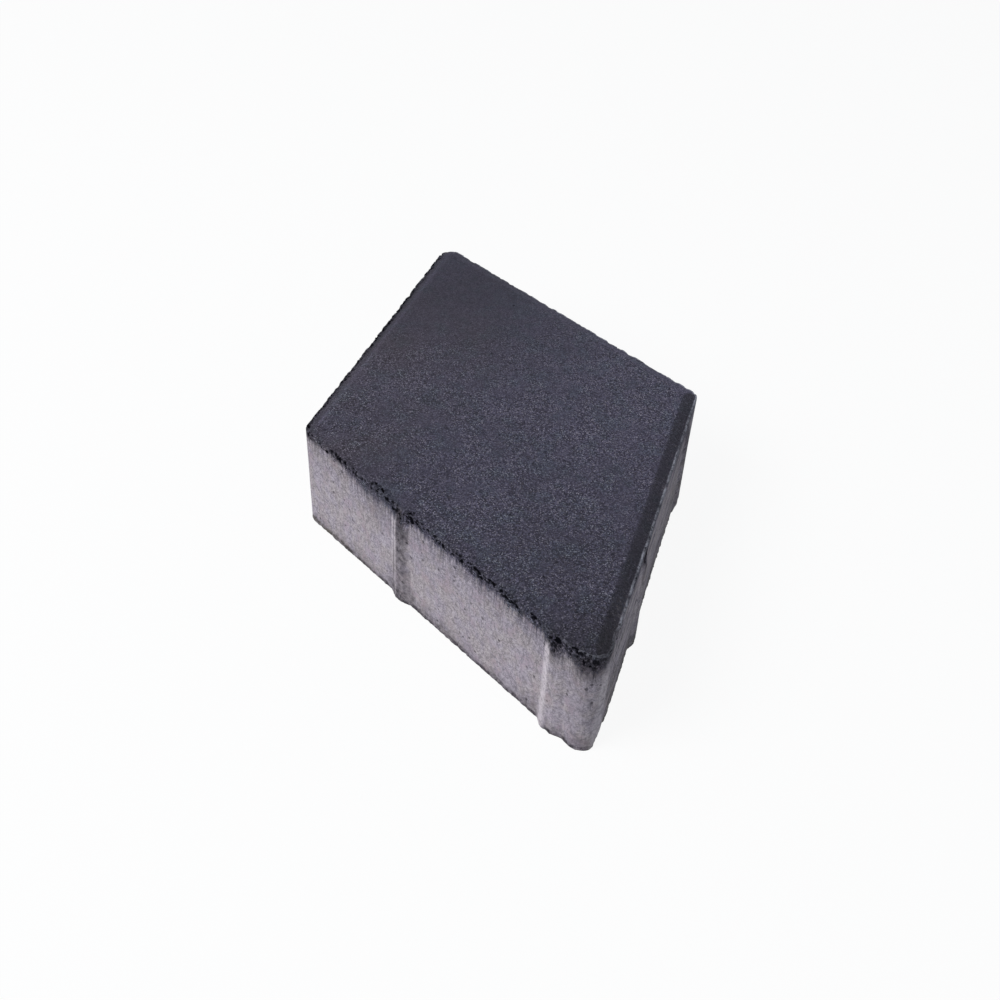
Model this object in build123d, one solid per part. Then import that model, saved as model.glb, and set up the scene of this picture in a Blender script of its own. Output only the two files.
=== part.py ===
from build123d import *

import os
from math import cos, radians, sin, tan

# Rhombus concrete paving stone, pressed from two mixes. It lies flat: +Z is up, the
# origin is the centre of its underside, and the long diagonal runs along X. A dark
# facing layer covers a grey backing layer, face to face. All sizes are in millimetres.

# The rhombus, measured to its sharp corners.
SIDE_LENGTH = 208.0
ACUTE_ANGLE = 60.0

# Height of the stone, and of the dark mix at its top.
THICKNESS = 60.0
FACING_THICKNESS = 6.0

# The pressed bevel round the wearing face: how far in, and how far down.
BEVEL_WIDTH = 7.0
BEVEL_DEPTH = 2.5

# Rounding of the wearing face's corners. The bevel runs round them at its full width.
WEARING_CORNER_RADIUS = 0.5

# Spacer ribs, placed along each side from the corner where it starts. A rib stands
# out furthest at the underside, and less towards its head, so that it leaves the mould.
RIBS_PER_SIDE = 2
RIB_FIRST = 26.0
RIB_SPACING = 104.0
RIB_CREST_WIDTH = 5.5
RIB_FLANK_ANGLE = 24.0
RIB_FOOT_DEPTH = 2.0
RIB_HEAD_DEPTH = 1.3

# A rib's head stops this far under the dark mix, and slopes back over this height.
RIB_HEAD_DROP = 2.0
RIB_HEAD_SLOPE = 4.0

# How far a rib is rooted in the stone behind its side.
RIB_ROOT = 2.0

side_corner_radius = WEARING_CORNER_RADIUS + BEVEL_WIDTH
backing_height = THICKNESS - FACING_THICKNESS
rib_height = backing_height - RIB_HEAD_DROP


def rhombus_corners():
    """Sharp corners of the plan, clockwise seen from above, from the one at -X."""
    half_angle = radians(ACUTE_ANGLE / 2)
    half_long = SIDE_LENGTH * cos(half_angle)
    half_short = SIDE_LENGTH * sin(half_angle)
    return [Vector(-half_long, 0), Vector(0, half_short), Vector(half_long, 0), Vector(0, -half_short)]


def stone_prism(bottom, height):
    """Upright prism on the rounded plan, from a level up."""
    sharp = make_face(Polyline(*rhombus_corners(), close=True))
    plan = fillet(sharp.vertices(), side_corner_radius)
    return Pos(0, 0, bottom) * extrude(plan, height, dir=(0, 0, 1))


def facing_layer():
    """The dark wearing mix, with the bevel pressed round its top."""
    slab = stone_prism(backing_height, FACING_THICKNESS)
    wearing_face = slab.faces().sort_by(Axis.Z)[-1]
    return chamfer(wearing_face.edges(), BEVEL_WIDTH, BEVEL_DEPTH, reference=wearing_face)


def side_frames():
    """A frame for each side: origin at the corner where it starts, X along it, Y outward."""
    corners = rhombus_corners()
    frames = []
    for start, end in zip(corners, corners[1:] + corners[:1]):
        along = (end - start).normalized()
        frames.append(Plane(origin=start, x_dir=along, z_dir=(0, 0, 1)))
    return frames


def rib_section(depth, height):
    """Plan of a rib at a height: root, flank, crest, flank and root."""
    crest = RIB_CREST_WIDTH / 2
    foot = crest + depth / tan(radians(RIB_FLANK_ANGLE))
    return [
        Vector(-foot, -RIB_ROOT, height),
        Vector(-foot, 0, height),
        Vector(-crest, depth, height),
        Vector(crest, depth, height),
        Vector(foot, 0, height),
        Vector(foot, -RIB_ROOT, height),
    ]


def frustum(lower, upper):
    """Closed solid with flat faces between two outlines that have as many corners."""
    ends = [Face(Wire.make_polygon(outline)) for outline in (lower, upper)]
    walls = []
    for number in range(len(lower)):
        corners = [lower[number - 1], lower[number], upper[number], upper[number - 1]]
        walls.append(Face(Wire.make_polygon(corners)))
    return Solid(Shell(ends + walls))


def spacer_rib():
    """One rib on a side's frame, centred on X = 0: it tapers, and its head slopes back."""
    shaft = frustum(rib_section(RIB_FOOT_DEPTH, 0), rib_section(RIB_HEAD_DEPTH, rib_height))
    pitch = RIB_HEAD_SLOPE / RIB_HEAD_DEPTH
    profile = Polyline(
        (RIB_FOOT_DEPTH, 0),
        (RIB_FOOT_DEPTH, rib_height - RIB_FOOT_DEPTH * pitch),
        (-RIB_ROOT, rib_height + RIB_ROOT * pitch),
        (-RIB_ROOT, 0),
        close=True,
    )
    head_cut = extrude(Plane.YZ * make_face(profile), RIB_SPACING / 2, both=True)
    return shaft & head_cut


def backing_layer():
    """The grey structural mix, with the spacer ribs that stand out of its four sides."""
    body = stone_prism(0, backing_height)
    rib = spacer_rib()
    for frame in side_frames():
        for number in range(RIBS_PER_SIDE):
            station = RIB_FIRST + number * RIB_SPACING
            body += frame * Pos(station, 0, 0) * rib
    return body


def main():
    os.makedirs("parts", exist_ok=True)
    export_step(facing_layer(), "parts/facing_layer.step")
    export_step(backing_layer(), "parts/backing_layer.step")


main()
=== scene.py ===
"""Looks of the rhombus paving stone.

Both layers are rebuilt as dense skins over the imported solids: the same plan, bevel and
ribs, with the grain, pores, broken rim and worn edges that pressing leaves in concrete.
Lengths in this script are millimetres until a mesh is made, which is in metres.
"""

import math

import bpy
import numpy as np
from mathutils import Matrix, Vector


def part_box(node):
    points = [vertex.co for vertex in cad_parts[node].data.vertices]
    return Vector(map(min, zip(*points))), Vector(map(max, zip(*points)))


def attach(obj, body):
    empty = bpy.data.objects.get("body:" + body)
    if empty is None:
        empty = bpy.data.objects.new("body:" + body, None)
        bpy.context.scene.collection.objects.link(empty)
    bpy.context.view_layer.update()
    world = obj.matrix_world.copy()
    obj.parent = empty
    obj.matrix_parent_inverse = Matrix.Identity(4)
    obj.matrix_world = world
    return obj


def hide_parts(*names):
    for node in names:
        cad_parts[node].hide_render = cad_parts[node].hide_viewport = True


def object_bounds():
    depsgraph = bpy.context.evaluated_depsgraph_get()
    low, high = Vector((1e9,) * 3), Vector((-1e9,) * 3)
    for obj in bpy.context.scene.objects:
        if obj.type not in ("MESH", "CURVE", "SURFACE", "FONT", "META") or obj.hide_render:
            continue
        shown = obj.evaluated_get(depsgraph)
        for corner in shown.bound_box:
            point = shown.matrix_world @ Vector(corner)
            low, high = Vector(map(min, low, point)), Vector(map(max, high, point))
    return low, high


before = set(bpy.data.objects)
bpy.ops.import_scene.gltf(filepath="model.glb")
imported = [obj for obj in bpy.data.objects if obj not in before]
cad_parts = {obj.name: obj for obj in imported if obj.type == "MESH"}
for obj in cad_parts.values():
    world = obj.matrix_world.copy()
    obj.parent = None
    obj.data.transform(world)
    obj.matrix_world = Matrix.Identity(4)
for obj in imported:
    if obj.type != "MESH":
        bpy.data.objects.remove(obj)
cad_low, cad_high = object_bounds()

MM = 0.001

# Plan and section of the stone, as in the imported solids.
HALF_ACUTE_ANGLE = math.radians(30)
CORNER_RADIUS = 7.5
BEVEL_WIDTH = 7.0
BEVEL_DEPTH = 2.5
TOP = cad_high.z / MM
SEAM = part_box("backing_layer")[1].z / MM
RIM = TOP - BEVEL_DEPTH
HALF_LONG = cad_high.x / MM + CORNER_RADIUS * (1 / math.sin(HALF_ACUTE_ANGLE) - 1)
HALF_SHORT = HALF_LONG * math.tan(HALF_ACUTE_ANGLE)
SIDE = math.hypot(HALF_LONG, HALF_SHORT)

# Spacer ribs, measured from the corner where a side starts, going clockwise.
RIB_STATIONS = (26.0, 130.0)
RIB_HALF_CREST = 2.75
RIB_FLANK_SLOPE = math.tan(math.radians(24))
RIB_FOOT_DEPTH = 2.0
RIB_HEAD_DEPTH = 1.3
RIB_HEAD = SEAM - 2.0
RIB_HEAD_SLOPE = 4.0

# How finely the skins are cut.
SIDE_STEPS = 254
ACUTE_STEPS = 20
OBTUSE_STEPS = 10
ROWS_UP_BACKING = 68
ROWS_UP_FACING = 8
TOP_CELLS = 254
UNDERSIDE_CELLS = 110
SEAM_CELLS = 40

# How far in from the sides their unevenness still moves the top and the underside.
SIDE_REACH = 3.2

# How much height the crease between the bevel and the face is rounded over.
CREASE_ROUNDING = 1.0


# Noise on points

def hashed(cells, seed):
    """A repeatable number from 0 to 1 for each whole-number cell."""
    x, y, z = (cells[..., axis].astype(np.int64) for axis in range(3))
    mixed = (x * 73856093) ^ (y * 19349663) ^ (z * 83492791) ^ (seed * 2654435761)
    mixed = (mixed ^ (mixed >> 13)) * 1274126177 & 0x7FFFFFFF
    mixed = (mixed ^ (mixed >> 15)) * 1103515245 & 0x7FFFFFFF
    return (mixed ^ (mixed >> 11)) % 100003 / 100003.0


def noise(points, size, seed):
    """Smooth noise from -1 to 1 with blobs of about that size; size may differ by axis."""
    scaled = points / np.asarray(size, dtype=float)
    cell = np.floor(scaled)
    part = scaled - cell
    part = part * part * part * (part * (part * 6 - 15) + 10)
    total = np.zeros(len(points))
    for corner in np.ndindex(2, 2, 2):
        weight = np.prod(np.where(np.array(corner) == 1, part, 1 - part), axis=1)
        total += weight * hashed(cell + corner, seed)
    return total * 2 - 1


def fractal(points, size, seed, octaves=3):
    """Noise with finer and weaker copies of itself added."""
    total = np.zeros(len(points))
    reach = 0.0
    for octave in range(octaves):
        strength = 0.5 ** octave
        total += strength * noise(points, np.asarray(size) / 2 ** octave, seed + 17 * octave)
        reach += strength
    return total / reach


def pits(points, spacing, radius, share, seed):
    """Depth from 0 to 1 inside round pits, one at most in each cell of that spacing.

    radius is (smallest, largest), and share says how many of the cells have a pit.
    """
    scaled = points / spacing
    cell = np.floor(scaled)
    depth = np.zeros(len(points))
    for step in np.ndindex(3, 3, 3):
        near = cell + np.array(step) - 1
        centre = near + np.stack([hashed(near, seed + axis) for axis in range(3)], axis=-1)
        chosen = hashed(near, seed + 3) < share
        size = radius[0] + (radius[1] - radius[0]) * hashed(near, seed + 4)
        distance = np.linalg.norm((scaled - centre) * spacing, axis=1)
        here = np.clip(1 - (distance / size) ** 2, 0, 1) ** 0.5
        depth = np.maximum(depth, np.where(chosen, here, 0))
    return depth


def bent_points(points, seed):
    """The points moved a little by noise, so that pits cut on them aren't round."""
    moves = [noise(points, 1.5, seed + axis) for axis in range(3)]
    return points + 0.8 * np.stack(moves, axis=1)


def smooth(low, high, value):
    """0 below low, 1 above high, with a smooth run between."""
    t = np.clip((value - low) / (high - low), 0, 1)
    return t * t * (3 - 2 * t)


# The plan as loops

def plan_corners(inset):
    """Sharp corners, clockwise seen from above from the one at -X, moved in."""
    long = HALF_LONG - inset / math.sin(HALF_ACUTE_ANGLE)
    short = HALF_SHORT - inset / math.cos(HALF_ACUTE_ANGLE)
    return np.array([(-long, 0.0), (0.0, short), (long, 0.0), (0.0, -short)])


def plan_loop(inset):
    """Points and outward directions round the plan, with its corners rounded.

    It starts in the middle of the corner at -X. Also gives each point's side number and
    its distance along that side from the sharp corner where the side starts.
    """
    radius = max(CORNER_RADIUS - inset, 0.3)
    corners = plan_corners(inset)
    outer = plan_corners(0)
    points, directions, sides, stations = [], [], [], []
    for number in range(4):
        start, end = corners[number], corners[(number + 1) % 4]
        along = (end - start) / np.linalg.norm(end - start)
        outward = np.array([-along[1], along[0]])
        first_acute = number % 2 == 0
        for acute, corner, way in ((first_acute, start, 1), (not first_acute, end, -1)):
            half = HALF_ACUTE_ANGLE if acute else math.pi / 2 - HALF_ACUTE_ANGLE
            steps = ACUTE_STEPS if acute else OBTUSE_STEPS
            centre = corner + way * along * radius / math.tan(half) - outward * radius
            turns = np.linspace(math.pi / 2 - half, 0, steps // 2 + 1)
            if way < 0:
                turns = -turns[::-1]
            arc = [outward * math.cos(t) - along * math.sin(t) for t in turns]
            if way > 0:
                first_arc = [(centre + radius * d, d) for d in arc]
            else:
                last_arc = [(centre + radius * d, d) for d in arc]
        begin, stop = first_arc[-1][0], last_arc[0][0]
        straight = [
            (begin + (stop - begin) * step / SIDE_STEPS, outward)
            for step in range(1, SIDE_STEPS)
        ]
        for point, direction in first_arc + straight + last_arc[:-1]:
            points.append(point)
            directions.append(direction)
            sides.append(number)
            stations.append((point - outer[number]) @ along)
    return np.array(points), np.array(directions), np.array(sides), np.array(stations)


def rib_offset(stations, height):
    """How far the ribs stand out of a side at a height."""
    depth = RIB_FOOT_DEPTH + (RIB_HEAD_DEPTH - RIB_FOOT_DEPTH) * height / RIB_HEAD
    head = max((RIB_HEAD - height) / RIB_HEAD_SLOPE * RIB_HEAD_DEPTH, 0)
    crest = min(depth, head)
    out = np.zeros(len(stations))
    for station in RIB_STATIONS:
        away = np.clip(np.abs(stations - station) - RIB_HALF_CREST, 0, None)
        flank = depth - away * RIB_FLANK_SLOPE
        out = np.maximum(out, np.clip(np.minimum(flank, crest), 0, None))
    return out


def inset_of(points):
    """Distance in plan from the nearest side, measured to the sharp corners."""
    corners = plan_corners(0)
    nearest = np.full(len(points), np.inf)
    for start, end in zip(corners, np.roll(corners, -1, axis=0)):
        along = (end - start) / SIDE
        outward = np.array([-along[1], along[0]])
        nearest = np.minimum(nearest, (start - points[:, :2]) @ outward)
    return nearest


# Skins: rows of loop points, then a flat grid

class Skin:
    """A mesh being gathered: its points, what is known about each, and its faces."""

    def __init__(self):
        self.rows = []
        self.faces = []
        self.count = 0

    def add(self, points, anchors, outward, lean, sides, stations, insets):
        first = self.count
        self.rows.append((points, anchors, outward, lean, sides, stations, insets))
        self.count += len(points)
        return np.arange(first, self.count)

    def row(self, inset, height, lean=0.0):
        """One loop at an inset and a height; lean is how far its face tips towards flat."""
        plan, outward, sides, stations = plan_loop(inset)
        rim = plan_loop(0.0)[0]
        out = rib_offset(stations, height) if inset == 0 else np.zeros(len(plan))
        level = np.full((len(plan), 1), float(height))
        points = np.hstack([plan + outward * out[:, None], level])
        anchors = np.hstack([rim, np.minimum(level, RIM)])
        flat = np.hstack([outward, np.zeros((len(plan), 1))])
        size = np.ones(len(plan))
        return self.add(points, anchors, flat, size * lean, sides, stations, size * inset)

    def strip(self, lower, upper):
        """Four-sided faces between two loops, seen from outside if upper is above."""
        after = np.roll(np.arange(len(lower)), -1)
        self.faces += np.stack([lower, upper, upper[after], lower[after]], axis=1).tolist()

    def stack(self, rows):
        """Loops joined one above the other; gives the first and the last."""
        loops = [self.row(*row) for row in rows]
        for lower, upper in zip(loops, loops[1:]):
            self.strip(lower, upper)
        return loops[0], loops[-1]

    def cap(self, loop, inset, height, upward, cells):
        """Closes a loop with a flat sheared grid whose border lies at an inset."""
        front, left, back, right = plan_corners(inset)
        steps = np.linspace(0, 1, cells + 1)
        i, j = np.meshgrid(steps, steps, indexing="ij")
        plan = front + i[..., None] * (left - front) + j[..., None] * (right - front)
        plan = plan.reshape(-1, 2)
        points = np.hstack([plan, np.full((len(plan), 1), float(height))])
        nothing = np.zeros(len(plan))
        index = self.add(points, points, np.zeros_like(points), nothing + 1.0,
                         nothing - 1, nothing, inset_of(points))
        table = index.reshape(cells + 1, cells + 1)
        quads = [table[:-1, :-1], table[:-1, 1:], table[1:, 1:], table[1:, :-1]]
        quads = np.stack(quads if upward else quads[::-1], axis=-1)
        self.faces += quads.reshape(-1, 4).tolist()
        edges = (table[:-1, 0], table[-1, :-1], table[:0:-1, -1], table[0, :0:-1])
        self.zip(loop, np.concatenate(edges), upward)

    def zip(self, loop, border, upward):
        """Triangles between two loops that both start at -X and run the same way."""
        points = np.concatenate([row[0] for row in self.rows])
        a, b = points[loop], points[border]
        i = j = 0
        while i < len(a) or j < len(b):
            here_a, next_a = i % len(a), (i + 1) % len(a)
            here_b, next_b = j % len(b), (j + 1) % len(b)
            span_a = np.linalg.norm(a[next_a] - b[here_b]) if i < len(a) else np.inf
            span_b = np.linalg.norm(b[next_b] - a[here_a]) if j < len(b) else np.inf
            if span_a <= span_b:
                face = [loop[here_a], border[here_b], loop[next_a]]
                i += 1
            else:
                face = [loop[here_a], border[here_b], border[next_b]]
                j += 1
            self.faces.append([int(n) for n in (face if upward else face[::-1])])

    def facts(self):
        return [np.concatenate(column) for column in zip(*self.rows)]


# What pressing, drying and handling leave on the stone, with some painted shade and light

# Losses at the sides: centre, reach along each axis, and how far the side is set back.
CHIPS = (
    ((-160.0, -11.0, 57.0), (6.0, 4.0, 2.4), 0.9),
    ((-158.0, 13.0, 55.5), (7.0, 4.0, 3.0), 0.9),
    ((-166.0, -9.0, 0.0), (12.0, 9.0, 9.0), 1.5),
    ((-22.5, -91.0, 0.0), (8.0, 8.0, 6.5), 1.7),
)

# The corner at -X has crumbled under its rim: centre, reach and how far it is set back.
CRUMBLED = ((-171.8, 3.5, 58.0), (12.5, 12.5, 11.0), 2.7)

# Dark slurry drawn down the sides: side, station, half its width, and how far down; where
# that is below 0, the dark mix ends higher up instead.
SLURRY = (
    (0, 10.0, 17.0, 3.2),
    (0, 28.0, 7.5, 4.5),
    (0, 131.0, 9.5, 7.5),
    (0, 152.0, 22.0, 2.6),
    (0, 197.0, 34.0, -2.4),
    (1, 26.0, 8.0, 5.0),
    (1, 130.0, 9.0, 5.5),
    (2, 26.0, 9.0, 5.5),
    (2, 130.0, 8.0, 5.0),
    (3, 26.0, 8.0, 4.0),
    (3, 78.0, 52.0, -3.4),
    (3, 130.0, 8.0, 4.0),
    (3, 172.0, 34.0, -3.4),
    (3, 203.0, 9.0, 3.2),
)

# Brown-black films on the sides: side, (station, height), (half width, half height) and
# strength.
FILMS = (
    (0, (130.0, 42.0), (7.0, 30.0), 1.2),
    (0, (129.5, 20.0), (7.5, 36.0), 0.95),
    (0, (130.0, 1.5), (15.0, 18.0), 1.0),
    (0, (135.5, 12.0), (4.0, 32.0), 0.7),
    (0, (104.0, 1.0), (30.0, 10.0), 0.6),
    (0, (40.0, 3.0), (13.0, 11.0), 0.7),
    (0, (9.0, 2.0), (16.0, 12.0), 0.6),
    (0, (176.0, 1.0), (40.0, 9.0), 0.4),
    (0, (27.0, 49.0), (7.0, 8.0), 0.8),
    (0, (9.0, 50.5), (14.0, 9.0), 0.8),
    (0, (10.0, 26.0), (15.0, 36.0), 0.3),
    (0, (148.0, 46.0), (14.0, 16.0), 0.3),
    (3, (204.0, 50.5), (12.0, 9.0), 0.8),
    (3, (204.0, 26.0), (15.0, 36.0), 0.3),
    (3, (204.0, 2.0), (14.0, 12.0), 0.6),
    (3, (26.0, 38.0), (11.0, 34.0), 1.0),
    (3, (14.0, 14.0), (24.0, 44.0), 0.9),
    (3, (46.0, 26.0), (22.0, 60.0), 0.35),
    (3, (130.0, 48.0), (8.0, 11.0), 0.9),
    (3, (60.0, 2.0), (50.0, 14.0), 0.3),
    (1, (60.0, 2.0), (30.0, 9.0), 0.6),
    (1, (26.0, 44.0), (5.0, 12.0), 0.6),
    (2, (140.0, 2.0), (26.0, 9.0), 0.6),
    (2, (26.0, 44.0), (5.0, 14.0), 0.7),
)

# Torn places on the sides, their open texture painted black as shade, with the same values as
# the films.
TORN = (
    (0, (9.0, 54.5), (16.0, 5.5), 0.75),
    (3, (204.0, 54.0), (8.0, 5.0), 0.6),
    (0, (27.5, 52.5), (7.0, 7.0), 0.75),
    (0, (126.0, 55.5), (8.0, 5.0), 1.0),
    (0, (132.0, 54.0), (7.5, 5.5), 1.0),
    (0, (147.0, 57.0), (12.0, 3.0), 1.0),
    (1, (112.0, 58.0), (140.0, 3.0), 1.0),
    (3, (98.0, 57.5), (10.0, 2.2), 0.45),
    (3, (128.0, 53.0), (10.0, 4.0), 1.0),
    (3, (150.0, 56.5), (14.0, 2.5), 0.8),
    (3, (178.0, 55.0), (12.0, 2.5), 1.0),
)

# One value for each side in turn, starting from the corner at -X and going clockwise.
# The rim: height of the broken fin on it, how light that fin is, how open the texture is,
# with painted shade darkening that open texture, and how ragged the outline.
FIN_HEIGHT = (0.15, 0.25, 0.4, 0.6)
FIN_LIGHT = (0.1, 0.1, 1.0, 1.0)
RIM_OPEN_AND_SHADE = (0.85, 1.25, 0.3, 0.25)
RAGGED = (0.3, 0.6, 0.9, 0.3)

# The bevel: how dark it is, partly its denser pressed mix and partly painted shade and light
# that differ by side, how smooth it was pressed, and how much lighter its crease is, partly
# wear and partly a painted highlight.
BEVEL_DARK_AND_SHADE = (0.20, 0.26, -0.20, 0.60)
BEVEL_SMOOTH = (0.3, 0.7, 0.6, 0.7)
CREASE_WEAR_AND_HIGHLIGHT = (0.06, 0.70, 0.12, 0.0)

# The foot: how far its ragged burr stands out, and the height and strength of its darkening,
# partly damp and partly painted shade near the floor.
BURR = (0.45, 0.3, 0.3, 0.3)
DAMP_AND_SHADE_HEIGHT = (10.0, 12.0, 12.0, 24.0)
DAMP_AND_SHADE_SHARE = (0.4, 0.6, 0.6, 0.55)

# The dark mix's lower edge on the sides, how far it fades either way, and how far the
# haze of slurry reaches below it.
DARK_EDGE = 53.3
DARK_FADE = 3.5
HAZE_REACH = 8.5

# Side 3 is brown below this height, and the brown fades over so much more above it.
BROWN_BELOW = 30.0
BROWN_FADE = 12.0

# How light the fin is on the corner at -X, and the distances from that sharp corner
# between which this takes over from the sides' own values.
LIP_LIGHT = 0.26
LIP_REACH = (34, 22)

# The fin on a rim fades between these distances from the side.
FIN_WIDTH = (1.15, 0.75)

# Where on the bevel its crease lies, and half the crease's width.
CREASE_INSET = 6.2
CREASE_HALF_WIDTH = 1.3

# Pale lines rubbed on the ribs' flanks: side, then station, half width and strength at
# the foot, and the same at the head.
RUBBED = (
    (0, (137.4, 0.6, 0.1), (136.6, 0.6, 0.9)),
    (0, (133.2, 0.7, 0.3), (133.4, 0.8, 1.2)),
    (0, (30.5, 2.6, 0.8), (31.2, 1.7, 1.0)),
    (1, (135.0, 1.2, 0.5), (135.5, 0.7, 0.8)),
    (2, (31.0, 1.6, 0.5), (31.5, 0.8, 0.8)),
    (3, (135.5, 1.2, 0.3), (135.5, 0.6, 0.5)),
    (3, (198.0, 3.0, 0.5), (196.5, 3.0, 0.6)),
)


def per_side(values, sides):
    """The value of each point's side, and 0 on the face and the underside."""
    return np.array(values + (0.0,))[sides.astype(int)]


def side_relief(anchors, sides):
    """How far each point's side is set back, and how deep in a pore it is."""
    grain = 0.5 + 0.5 * fractal(anchors, 1.7, 11, 2)
    lumps = 0.5 + 0.5 * fractal(anchors, 9.0, 12, 2)
    streak = 0.5 + 0.5 * noise(anchors, (1.6, 1.6, 22.0), 13)
    back = 0.09 * grain + 0.10 * lumps + 0.07 * streak
    bent = bent_points(anchors, 25)
    small = pits(bent, 4.0, (0.5, 1.2), 0.05, 21)
    large = pits(bent, 10.0, (1.0, 2.0), 0.05, 22)
    ragged = 2.0 + 1.8 * fractal(anchors, (7.0, 7.0, 40.0), 24, 2)
    back += 0.5 * small + 0.9 * large
    burr = per_side(BURR, sides) * (0.7 + 0.6 * lumps)
    back += smooth(ragged, 0.0, anchors[:, 2]) * (0.6 * grain - burr)
    bites = np.clip(0.3 + 1.4 * fractal(anchors, 3.5, 26, 2), 0, 1)
    back += per_side(RAGGED, sides) * bites * smooth(RIM - 4.0, RIM - 1.0, anchors[:, 2])
    for centre, reach, depth in CHIPS:
        away = np.linalg.norm((anchors - centre) / reach, axis=1)
        back += depth * smooth(1.0, 0.2, away + 0.25 * noise(anchors, 2.2, 41))
    return back, np.maximum(0.6 * small, 0.8 * large)


def crumbled_corner(anchors):
    """How far the broken corner at -X is set back at each point."""
    centre, reach, depth = CRUMBLED
    away = np.linalg.norm((anchors - centre) / reach, axis=1)
    return depth * smooth(1.0, 0.1, away + 0.10 * fractal(anchors, 3.0, 42, 2))


def face_relief(points, insets):
    """How far the wearing face or the underside is set back, and how deep in a pore."""
    worn = 0.5 + 0.5 * fractal(points, 38.0, 31, 2)
    worn = worn * smooth(5.0, 10.0, insets)
    back = (0.03 + 0.09 * worn) * (0.5 + 0.5 * fractal(points, 1.6, 32, 2))
    back += 0.10 * (0.5 + 0.5 * noise(points, 16.0, 33))
    small = worn * pits(points, 3.0, (0.6, 1.2), 0.14, 34)
    return back + 0.3 * small, small


def crease_drop(points, insets):
    """How far the worn crease lies under the sharp one between bevel and face."""
    bevel = RIM + BEVEL_DEPTH * insets / BEVEL_WIDTH
    over = CREASE_ROUNDING * (1 + 0.6 * noise(points, 18.0, 71))
    share = np.clip(0.5 + 0.5 * (TOP - bevel) / over, 0, 1)
    worn = TOP + (bevel - TOP) * share - over * share * (1 - share)
    return np.where(points[:, 2] > RIM + 0.01, np.minimum(bevel, TOP) - worn, 0)


def in_patches(table, points, sides, stations, rough):
    """How far inside any patch of a table each point lies, times the patch's strength."""
    total = np.zeros(len(points))
    place = np.stack([stations, points[:, 2]], axis=1)
    for side, middle, reach, strength in table:
        away = np.linalg.norm((place - middle) / reach, axis=1)
        here = strength * smooth(1.0, 0.1, away + rough)
        total = np.maximum(total, np.where(sides == side, here, 0))
    return total


def dark_share(points, sides, stations):
    """1 in the dark mix and 0 in the pale mix, and the haze of slurry below the dark."""
    low = DARK_EDGE + 0.7 * noise(points, (9.0, 9.0, 90.0), 51)
    low += 1.2 * fractal(points, (1.6, 1.6, 6.0), 52, 2)
    for side, station, half, down in SLURRY:
        across = np.clip(np.abs(stations - station) / half, 0, 1)
        low -= np.where(sides == side, down * (1 - across ** 2) ** 2, 0)
    height = points[:, 2]
    haze = 0.62 * np.exp(-np.clip(low - height, 0, None) / HAZE_REACH)
    layers = 0.5 + 0.5 * fractal(points, (16.0, 16.0, 5.0), 53, 4)
    grazed = 0.62 * smooth(0.40, 0.70, layers) * smooth(206, 180, stations)
    haze = np.where(sides == 3, np.maximum(grazed, 0.3 * haze), haze)
    return smooth(low - DARK_FADE, low + DARK_FADE, height), haze * (sides >= 0)


def rubbed_share(points, sides, stations):
    """How strongly a pale line has been rubbed on each point of the ribs' flanks."""
    up = np.clip(points[:, 2] / RIB_HEAD, 0, 1)
    total = np.zeros(len(points))
    for side, foot, head in RUBBED:
        middle, half, strength = (a + (b - a) * up for a, b in zip(foot, head))
        soft = 0.25 + 0.25 * half
        here = strength * smooth(half + soft, half - soft, np.abs(stations - middle))
        total = np.maximum(total, np.where(sides == side, here, 0))
    return total * smooth(RIB_HEAD + 1.0, RIB_HEAD - 6.0, points[:, 2])


def films(points, sides, stations):
    """How strongly brown-black films cover the sides, and how dark the sides grow towards the
    foot, partly damp and partly painted shade near the floor.
    """
    rough = 0.45 * fractal(points, (5.0, 5.0, 9.0), 81)
    total = in_patches(FILMS, points, sides, stations, rough)
    # Darker towards the foot: partly damp, partly painted shade near the floor.
    height = per_side(DAMP_AND_SHADE_HEIGHT, sides) * (1 + 1.2 * rough) + 0.1
    damp_and_shade = per_side(DAMP_AND_SHADE_SHARE, sides) * smooth(height, 0.0, points[:, 2])
    # A darker band along the very foot: painted contact shadow, with some dirt.
    edge = 4.4 + 4.0 * rough
    damp_and_shade = np.maximum(damp_and_shade, 1.3 * smooth(edge, 0.2 * edge, points[:, 2]))
    return np.maximum(total, damp_and_shade * (points[:, 2] < SEAM))


def opened(points, sides, stations, insets):
    """How open the texture is: along the rim, and in the torn places under it; the material
    darkens this openness as painted shade.
    """
    below = smooth(4.6, 1.6, RIM - points[:, 2]) * (insets < 0.05)
    above = smooth(np.where(sides == 1, 4.0, 1.8), 0.3, insets) * (points[:, 2] >= RIM - 0.01)
    rim = per_side(RIM_OPEN_AND_SHADE, sides) * np.maximum(below, above)
    rim *= np.clip(0.8 + 0.7 * fractal(points, 6.0, 62, 2), 0, 1)
    torn = in_patches(TORN, points, sides, stations, 0.4 * fractal(points, 3.0, 63, 2))
    return np.maximum(rim, torn * smooth(4.0, 2.0, insets))


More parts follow.
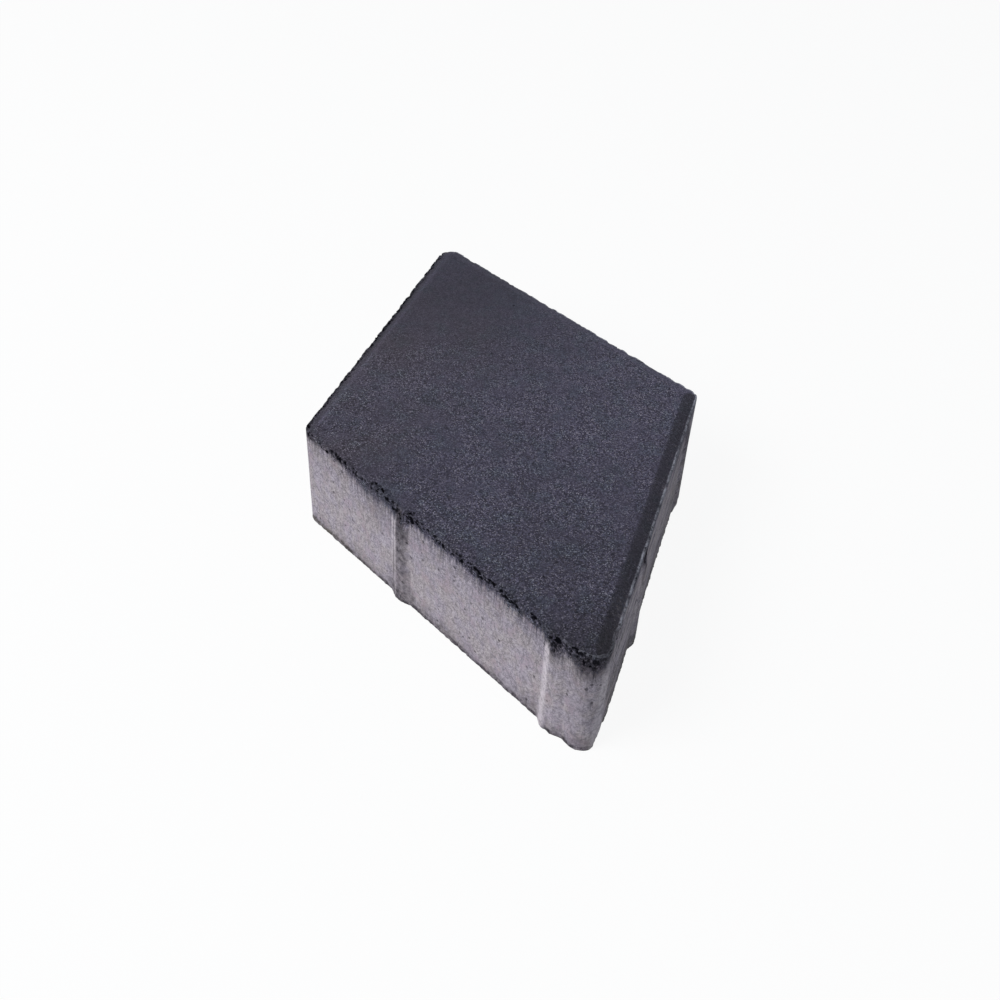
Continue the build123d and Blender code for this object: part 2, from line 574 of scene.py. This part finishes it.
def face_tones(points):
    """How deep the face's colour is, how sandy it looks, and how brown."""
    from_back = np.linalg.norm(points[:, :2] - (HALF_LONG, 0), axis=1)
    from_front = np.linalg.norm(points[:, :2] + (HALF_LONG, 0), axis=1)
    from_right = np.linalg.norm(points[:, :2] + (0, HALF_SHORT), axis=1)
    waver = 28.0 * fractal(points, 55.0, 64, 2)
    tone = 0.57 + 0.27 * smooth(50, 190, from_back + waver)
    tone *= 0.50 + 0.36 * smooth(12, 46, from_front) + 0.14 * smooth(60, 120, from_front)
    tone *= 1 + 0.12 * smooth(130, 40, from_right)
    tone *= 1 + 0.10 * fractal(points, 30.0, 65, 3)
    sandy = smooth(50, 160, from_back + waver)
    across = math.cos(HALF_ACUTE_ANGLE), math.sin(HALF_ACUTE_ANGLE)
    from_left = (HALF_SHORT - points[:, 1]) * across[0] - points[:, 0] * across[1]
    brown = smooth(75, 5, np.abs(from_left) + waver) * (0.7 + 0.6 * noise(points, 22.0, 66))
    return tone, sandy, np.clip(brown * smooth(30, 120, from_back), 0, 1)


def make_piece(name, skin, node):
    """Turns a skin into a mesh that stands for one CAD node."""
    points, anchors, outward, lean, sides, stations, insets = skin.facts()
    share = np.clip(1 - insets / SIDE_REACH, 0, 1)
    side_back, side_pore = side_relief(anchors, sides)
    face_back, face_pore = face_relief(points, insets)
    open_rim = opened(points, sides, stations, insets)
    rim_pits = pits(bent_points(points, 28), 2.3, (0.6, 1.3), 0.6, 23)
    rim_pore = smooth(0.25, 0.6, open_rim) * rim_pits
    rubbed = rubbed_share(points, sides, stations) * (insets < 0.1)

    back = side_back * share + 0.7 * rim_pore * (1 - lean) - 0.3 * rubbed
    back += crumbled_corner(anchors) * np.clip(1 - insets / BEVEL_WIDTH, 0, 1)
    moved = points - outward * back[:, None]
    down = face_back * (1 - share) + 0.9 * rim_pore * lean + crease_drop(points, insets)
    up_or_down = np.where(points[:, 2] > RIM - 0.01, -1, np.where(points[:, 2] < 0.01, 1, 0))
    moved[:, 2] += up_or_down * down * (lean > 0)
    broken = np.clip(0.7 + 0.9 * fractal(anchors, (5.0, 5.0, 50.0), 61), 0, 1)
    broken *= (1 - rim_pore) * (points[:, 2] > RIM - 0.5) * smooth(*FIN_WIDTH, insets)
    moved[:, 2] += per_side(FIN_HEIGHT, sides) * broken * (insets > 0)

    lip = smooth(*LIP_REACH, np.linalg.norm(anchors[:, :2] + (HALF_LONG, 0), axis=1))
    lip = per_side(FIN_LIGHT, sides) * (1 - lip) + LIP_LIGHT * lip

    dark, haze = dark_share(points, sides, stations)
    tone, sandy, brown = face_tones(points)
    on_bevel = smooth(10.0, 5.2, insets) * (points[:, 2] > RIM)
    crease = np.exp(-((insets - CREASE_INSET) / CREASE_HALF_WIDTH) ** 2)
    # The crease is made lighter by side: partly wear, partly a painted highlight.
    tone *= 1 + per_side(CREASE_WEAR_AND_HIGHLIGHT, sides) * crease
    stained = smooth(BROWN_BELOW + BROWN_FADE, BROWN_BELOW, points[:, 2]) * (sides == 3)
    brown = np.maximum(brown, stained)
    facts = {
        "dark": dark,
        "haze": haze,
        # The bevel is darker or lighter by side: partly its pressed mix, partly painted shade
        # and light.
        "tone": tone * (1 - per_side(BEVEL_DARK_AND_SHADE, sides) * on_bevel),
        "sandy": sandy,
        "brown": brown,
        # The deeper a pit, the more its colour takes the near-black painted shade of pores.
        "pore": np.maximum(rim_pore, 0.5 * np.maximum(side_pore * share, face_pore)),
        "film": films(points, sides, stations) * (insets < 0.1),
        "rubbed": rubbed,
        "open": open_rim,
        "fin": lip * broken,
        "pressed": per_side(BEVEL_SMOOTH, sides) * on_bevel,
    }
    moved = np.clip(moved, np.array(cad_low) / MM, np.array(cad_high) / MM)

    mesh = bpy.data.meshes.new(name)
    mesh.from_pydata((moved * MM).tolist(), [], skin.faces)
    mesh.validate()
    for label, values in facts.items():
        mesh.attributes.new(label, "FLOAT", "POINT").data.foreach_set("value", values)
    mesh.polygons.foreach_set("use_smooth", [True] * len(mesh.polygons))
    piece = bpy.data.objects.new(name, mesh)
    bpy.context.scene.collection.objects.link(piece)
    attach(piece, "root")
    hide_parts(node)
    return piece


def backing_skin():
    skin = Skin()
    underside = [(inset, 0.0, 1.0) for inset in (4.0, 3.2, 2.4, 1.6, 0.8)]
    rising = [(0.0, SEAM * step / ROWS_UP_BACKING) for step in range(ROWS_UP_BACKING + 1)]
    first, last = skin.stack(underside + rising)
    skin.cap(first, 4.8, 0.0, False, UNDERSIDE_CELLS)
    skin.cap(last, 6.0, SEAM, True, SEAM_CELLS)
    return skin


def facing_skin():
    skin = Skin()
    rise = (RIM - SEAM) / ROWS_UP_FACING
    rising = [(0.0, SEAM + rise * step) for step in range(ROWS_UP_FACING)] + [(0.0, RIM, 0.3)]
    insets = (0.1, 0.5, 0.9, 1.3, 1.8, 2.4, 3.0, 3.6, 4.2, 4.8, 5.4, 6.0, 6.6, 7.0)
    bevel = [
        (inset, RIM + BEVEL_DEPTH * inset / BEVEL_WIDTH, min(0.5 + 0.5 * inset, 1.0))
        for inset in insets
    ]
    first, last = skin.stack(rising + bevel)
    skin.cap(last, BEVEL_WIDTH + 0.6, TOP, True, TOP_CELLS)
    skin.cap(first, 6.0, SEAM, False, SEAM_CELLS)
    return skin


# Concrete

class Nodes:
    """Short calls for a material's nodes."""

    def __init__(self, material):
        self.tree = material.node_tree
        self.tree.nodes.clear()

    def add(self, kind, **settings):
        node = self.tree.nodes.new(kind)
        for setting, value in settings.items():
            setattr(node, setting, value)
        return node

    def feed(self, socket, source):
        if isinstance(source, bpy.types.NodeSocket):
            self.tree.links.new(source, socket)
        else:
            socket.default_value = source

    def attribute(self, name):
        return self.add("ShaderNodeAttribute", attribute_name=name).outputs["Fac"]

    def place(self, stretch=(1, 1, 1)):
        """The point's place on the object, in metres, stretched along each axis."""
        coordinates = self.add("ShaderNodeTexCoord").outputs["Object"]
        scaled = self.add("ShaderNodeVectorMath", operation="MULTIPLY")
        self.feed(scaled.inputs[0], coordinates)
        scaled.inputs[1].default_value = stretch
        return scaled.outputs[0]

    def noise(self, scale, detail=2.0, stretch=(1, 1, 1), roughness=0.5):
        node = self.add("ShaderNodeTexNoise")
        self.feed(node.inputs["Vector"], self.place(stretch))
        node.inputs["Scale"].default_value = scale
        node.inputs["Detail"].default_value = detail
        node.inputs["Roughness"].default_value = roughness
        return node.outputs["Fac"]

    def cells(self, scale, bend=0.0):
        """Distance to the middle of a cell, and the cell's own three numbers."""
        node = self.add("ShaderNodeTexVoronoi")
        place = self.place()
        if bend:
            warp = self.add("ShaderNodeTexNoise")
            self.feed(warp.inputs["Vector"], place)
            warp.inputs["Scale"].default_value = 1.6 * scale
            move = self.add("ShaderNodeVectorMath", operation="MULTIPLY_ADD")
            self.feed(move.inputs[0], warp.outputs["Color"])
            move.inputs[1].default_value = (bend, bend, bend)
            self.feed(move.inputs[2], place)
            place = move.outputs[0]
        self.feed(node.inputs["Vector"], place)
        node.inputs["Scale"].default_value = scale
        parts = self.add("ShaderNodeSeparateColor")
        self.feed(parts.inputs[0], node.outputs["Color"])
        return node.outputs["Distance"], parts.outputs

    def mean(self, a, b):
        return self.math("MULTIPLY", self.math("ADD", a, b), 0.5)

    def scale(self, colour, factor):
        node = self.add("ShaderNodeVectorMath", operation="SCALE")
        self.feed(node.inputs[0], colour)
        self.feed(node.inputs["Scale"], factor)
        return node.outputs[0]

    def math(self, operation, a, b=0.0, c=0.0):
        node = self.add("ShaderNodeMath", operation=operation)
        for socket, source in zip(node.inputs, (a, b, c)):
            self.feed(socket, source)
        return node.outputs[0]

    def span(self, value, low, high, to_low=0.0, to_high=1.0):
        """Maps low..high smoothly to to_low..to_high."""
        node = self.add("ShaderNodeMapRange", interpolation_type="SMOOTHSTEP")
        for socket, source in zip(node.inputs, (value, low, high, to_low, to_high)):
            self.feed(socket, source)
        return node.outputs[0]

    def mix(self, share, a, b, blend="MIX"):
        node = self.add("ShaderNodeMix", data_type="RGBA", blend_type=blend)
        self.feed(node.inputs["Factor"], share)
        colours = [socket for socket in node.inputs if socket.type == "RGBA"]
        for socket, source in zip(colours, (a, b)):
            self.feed(socket, source)
        return next(socket for socket in node.outputs if socket.type == "RGBA")


# Colours of the dark mix, then of the pale mix, then the painted shade of pores, and films.
DARK_LOW = (0.016, 0.0155, 0.028, 1)
DARK_HIGH = (0.115, 0.1115, 0.171, 1)
DARK_SPECK = (0.46, 0.455, 0.54, 1)
DARK_TEAL = (0.95, 1.01, 0.99, 1)
DARK_PLUM = (1.05, 0.985, 1.01, 1)
BROWN_LOW = (0.022, 0.019, 0.026, 1)
BROWN_HIGH = (0.112, 0.099, 0.137, 1)
FIN = (0.31, 0.31, 0.36, 1)
PALE_LOW = (0.210, 0.187, 0.211, 1)
PALE_HIGH = (0.452, 0.408, 0.446, 1)
PALE_PINK = (0.34, 0.265, 0.30, 1)
PALE_WARM = (1.01, 1.00, 0.97, 1)
PALE_COOL = (0.99, 0.985, 1.035, 1)
PALE_SPECK = (0.68, 0.64, 0.68, 1)
PALE_RUBBED = (0.60, 0.54, 0.585, 1)
PORE_SHADE = (0.004, 0.004, 0.006, 1)
FILM_COOL = (0.034, 0.029, 0.036, 1)
FILM_BROWN = (0.040, 0.035, 0.030, 1)


def concrete(name):
    """Sandy pressed concrete, dark or pale by what its mesh says of each place."""
    material = bpy.data.materials.new(name)
    material.use_nodes = True
    n = Nodes(material)

    # Noise and cells; their scales are about how many fit in a metre.
    fine = n.noise(2300, 2.0, roughness=0.6)
    grain = n.noise(520, 6.0, roughness=0.8)
    patch = n.noise(130, 5.0, roughness=0.7)
    cloud = n.noise(60, 4.0, roughness=0.7)
    tint = n.noise(95, 3.0, roughness=0.65)
    blot = n.noise(340, 4.0, roughness=0.65)
    streak = n.noise(900, 4.0, (1, 1, 0.12))
    distance, sand = n.cells(1700)
    hole_distance, hole = n.cells(520, 0.0009)
    pressed, opened = n.attribute("pressed"), n.attribute("open")
    sandy = n.math("MULTIPLY", n.attribute("sandy"), n.span(cloud, 0.36, 0.60, 0.35, 1.0))
    sandy = n.math("MULTIPLY", sandy, n.math("SUBTRACT", 1.0, n.math("MULTIPLY", pressed, 0.6)))
    bright = n.math("MULTIPLY", n.span(sand[0], 0.62, 1.0), n.span(distance, 0.70, 0.20))
    hole_size = n.math("ADD", n.math("MULTIPLY", hole[0], 0.35),
                       n.math("MULTIPLY", opened, 0.2))
    rare = n.math("SUBTRACT", n.span(n.attribute("dark"), 0.0, 0.5, 0.955, 0.985),
                  n.math("MULTIPLY", opened, 0.6))
    # Small holes, later painted near-black as the shade inside them.
    hollow = n.math("MULTIPLY", n.math("GREATER_THAN", hole[1], rare),
                    n.span(n.math("SUBTRACT", hole_distance, hole_size), 0.20, 0.05))

    # The dark mix
    salt = n.mean(fine, sand[1])
    low = n.mix(n.attribute("brown"), DARK_LOW, BROWN_LOW)
    high = n.mix(n.attribute("brown"), DARK_HIGH, BROWN_HIGH)
    calm = n.mix(0.45, low, high)
    dark = n.mix(n.span(salt, 0.34, 0.84), low, high)
    dark = n.mix(n.span(sandy, 0.0, 1.0, 0.35, 1.0), calm, dark)
    dark = n.mix(n.math("MULTIPLY", n.math("MULTIPLY", bright, sandy), 0.8), dark, DARK_SPECK)
    level = n.math("MULTIPLY", n.attribute("tone"), n.span(patch, 0.3, 0.7, 0.92, 1.08))
    dark = n.scale(dark, level)
    dark = n.mix(1.0, dark, n.mix(n.span(tint, 0.34, 0.56), DARK_TEAL, DARK_PLUM), "MULTIPLY")

    # The pale mix
    rough = n.mean(grain, n.mean(grain, salt))
    pale = n.mix(n.span(rough, 0.38, 0.62), PALE_LOW, PALE_HIGH)
    pale = n.mix(n.span(patch, 0.50, 0.64, 0.0, 0.5), pale, PALE_PINK)
    pale = n.mix(n.span(streak, 0.52, 0.68, 0.0, 0.3), pale, PALE_LOW)
    pale = n.mix(n.span(blot, 0.56, 0.68, 0.0, 0.4), pale, PALE_LOW)
    pale = n.mix(n.math("MULTIPLY", bright, 0.3), pale, PALE_SPECK)
    pale = n.mix(1.0, pale, n.mix(n.span(tint, 0.40, 0.60), PALE_WARM, PALE_COOL), "MULTIPLY")

    # Both mixes, then what lies on them and what is worn or broken out of them
    broken = n.math("SUBTRACT", n.mean(streak, sand[1]), 0.5)
    edge = n.math("ADD", n.attribute("dark"), broken)
    colour = n.mix(n.span(edge, 0.1, 0.9), pale, dark)
    haze = n.math("MULTIPLY", n.attribute("haze"), n.span(streak, 0.3, 0.7, 0.4, 1.6))
    colour = n.mix(haze, colour, dark)
    mottle = n.span(n.mean(rough, blot), 0.42, 0.58, 0.30, 1.10)
    film = n.math("MULTIPLY", n.attribute("film"), mottle)
    stain = n.mix(n.attribute("brown"), FILM_COOL, FILM_BROWN)
    colour = n.mix(film, colour, n.scale(stain, n.span(rough, 0.38, 0.62, 0.3, 2.4)))
    rubbed = n.math("MULTIPLY", n.attribute("rubbed"), n.span(grain, 0.35, 0.6, 0.15, 1.0))
    colour = n.mix(rubbed, colour, PALE_RUBBED)
    # Open texture at the rim and in torn places goes near-black: painted shade in its pits.
    shade = n.math("MULTIPLY", opened, n.span(rough, 0.40, 0.60, 0.85, 0.05))
    colour = n.mix(shade, colour, PORE_SHADE)
    fin = n.math("MULTIPLY", n.attribute("fin"), n.span(grain, 0.36, 0.56))
    colour = n.mix(fin, colour, FIN)
    depth = n.math("ADD", n.math("MULTIPLY", opened, 0.45), 0.55)
    # Holes and pits are mixed towards near-black: painted shade in their hollows.
    hollow = n.math("MAXIMUM", n.math("MULTIPLY", hollow, depth),
                    n.span(n.attribute("pore"), 0.12, 0.5))
    colour = n.mix(hollow, colour, PORE_SHADE)

    height = n.math("ADD", n.math("MULTIPLY", fine, 0.5), n.math("MULTIPLY", grain, 0.7))
    height = n.math("SUBTRACT", height, n.math("MULTIPLY", hollow, 0.8))
    bump = n.add("ShaderNodeBump")
    bump.inputs["Distance"].default_value = 0.0005
    n.feed(bump.inputs["Strength"], n.span(pressed, 0.0, 1.0, 0.8, 0.35))
    n.feed(bump.inputs["Height"], height)

    surface = n.add("ShaderNodeBsdfPrincipled")
    n.feed(surface.inputs["Base Color"], colour)
    n.feed(surface.inputs["Roughness"], n.span(salt, 0.3, 0.7, 0.95, 0.75))
    shine = n.math("SUBTRACT", 1.0, n.math("MAXIMUM", hollow, shade))
    n.feed(surface.inputs["Specular IOR Level"], n.math("MULTIPLY", shine, 0.3))
    n.feed(surface.inputs["Normal"], bump.outputs[0])
    output = n.add("ShaderNodeOutputMaterial")
    n.feed(output.inputs["Surface"], surface.outputs[0])
    return material


backing = make_piece("backing_concrete_skin", backing_skin(), "backing_layer")
facing = make_piece("facing_concrete_skin", facing_skin(), "facing_layer")
backing.data.materials.append(concrete("backing concrete"))
facing.data.materials.append(concrete("facing concrete"))


# Floor, light and camera

FLOOR_SIZE = 12.0
FLOOR_WHITE = 0.93
SHADOW_KEPT = 0.08

KEY_AZIMUTH = math.radians(104)
KEY_ELEVATION = math.radians(44)
KEY_DISTANCE = 2.4
KEY_WIDTH = 1.6
KEY_POWER = 46.0
FILL_LIGHT = 0.30
FILL_COLOUR = (0.82, 0.925, 1.02, 1)

CAMERA_PLACE = Vector((-0.45879, 0.11833, 0.39825))
CAMERA_AIM = Vector((-0.03682, 0.01051, 0.03021))
CAMERA_ROLL = math.radians(3.524)
CAMERA_LENS = 40.74


def camera_white(n):
    """1 for the rays that should see a white background, 0 for those that carry light."""
    path = n.add("ShaderNodeLightPath")
    seen = n.math("MAXIMUM", path.outputs["Is Camera Ray"], path.outputs["Is Glossy Ray"])
    return n.math("MAXIMUM", seen, path.outputs["Is Transmission Ray"])


floor_mesh = bpy.data.meshes.new("studio_floor")
reach = FLOOR_SIZE / 2
floor_mesh.from_pydata(
    [(-reach, -reach, 0), (reach, -reach, 0), (reach, reach, 0), (-reach, reach, 0)],
    [], [(0, 1, 2, 3)],
)
floor = bpy.data.objects.new("studio_floor", floor_mesh)
bpy.context.scene.collection.objects.link(floor)
paper = bpy.data.materials.new("white paper")
paper.use_nodes = True
n = Nodes(paper)
sheet = n.add("ShaderNodeBsdfDiffuse")
sheet.inputs["Color"].default_value = (FLOOR_WHITE, FLOOR_WHITE, FLOOR_WHITE, 1)
glow = n.add("ShaderNodeEmission")
glow.inputs["Strength"].default_value = 1.0
blend = n.add("ShaderNodeMixShader")
n.feed(blend.inputs[0], n.math("MULTIPLY", camera_white(n), 1 - SHADOW_KEPT))
n.feed(blend.inputs[1], sheet.outputs[0])
n.feed(blend.inputs[2], glow.outputs[0])
n.feed(n.add("ShaderNodeOutputMaterial").inputs["Surface"], blend.outputs[0])
floor_mesh.materials.append(paper)

world = bpy.data.worlds.new("studio")
world.use_nodes = True
bpy.context.scene.world = world
n = Nodes(world)
sky = n.add("ShaderNodeBackground")
sky.inputs["Color"].default_value = FILL_COLOUR
sky.inputs["Strength"].default_value = FILL_LIGHT
seen_sky = n.add("ShaderNodeBackground")
seen_sky.inputs["Color"].default_value = (1, 1, 1, 1)
seen_sky.inputs["Strength"].default_value = 1.0
blend = n.add("ShaderNodeMixShader")
n.feed(blend.inputs[0], camera_white(n))
n.feed(blend.inputs[1], sky.outputs[0])
n.feed(blend.inputs[2], seen_sky.outputs[0])
n.feed(n.add("ShaderNodeOutputWorld").inputs["Surface"], blend.outputs[0])

key_towards = Vector((
    math.cos(KEY_ELEVATION) * math.cos(KEY_AZIMUTH),
    math.cos(KEY_ELEVATION) * math.sin(KEY_AZIMUTH),
    math.sin(KEY_ELEVATION),
))
key_light = bpy.data.lights.new("key", "AREA")
key_light.shape = "DISK"
key_light.size = KEY_WIDTH
key_light.energy = KEY_POWER
key = bpy.data.objects.new("key", key_light)
bpy.context.scene.collection.objects.link(key)
key.location = key_towards * KEY_DISTANCE
key.rotation_euler = key_towards.to_track_quat("Z", "Y").to_euler()

camera_data = bpy.data.cameras.new("camera")
camera_data.lens = CAMERA_LENS
camera = bpy.data.objects.new("camera", camera_data)
bpy.context.scene.collection.objects.link(camera)
looking = (CAMERA_AIM - CAMERA_PLACE).to_track_quat("-Z", "Y").to_matrix()
camera.matrix_world = (
    Matrix.Translation(CAMERA_PLACE) @ (looking @ Matrix.Rotation(CAMERA_ROLL, 3, "Z")).to_4x4()
)
bpy.context.scene.camera = camera

bpy.context.scene.view_settings.view_transform = "Standard"
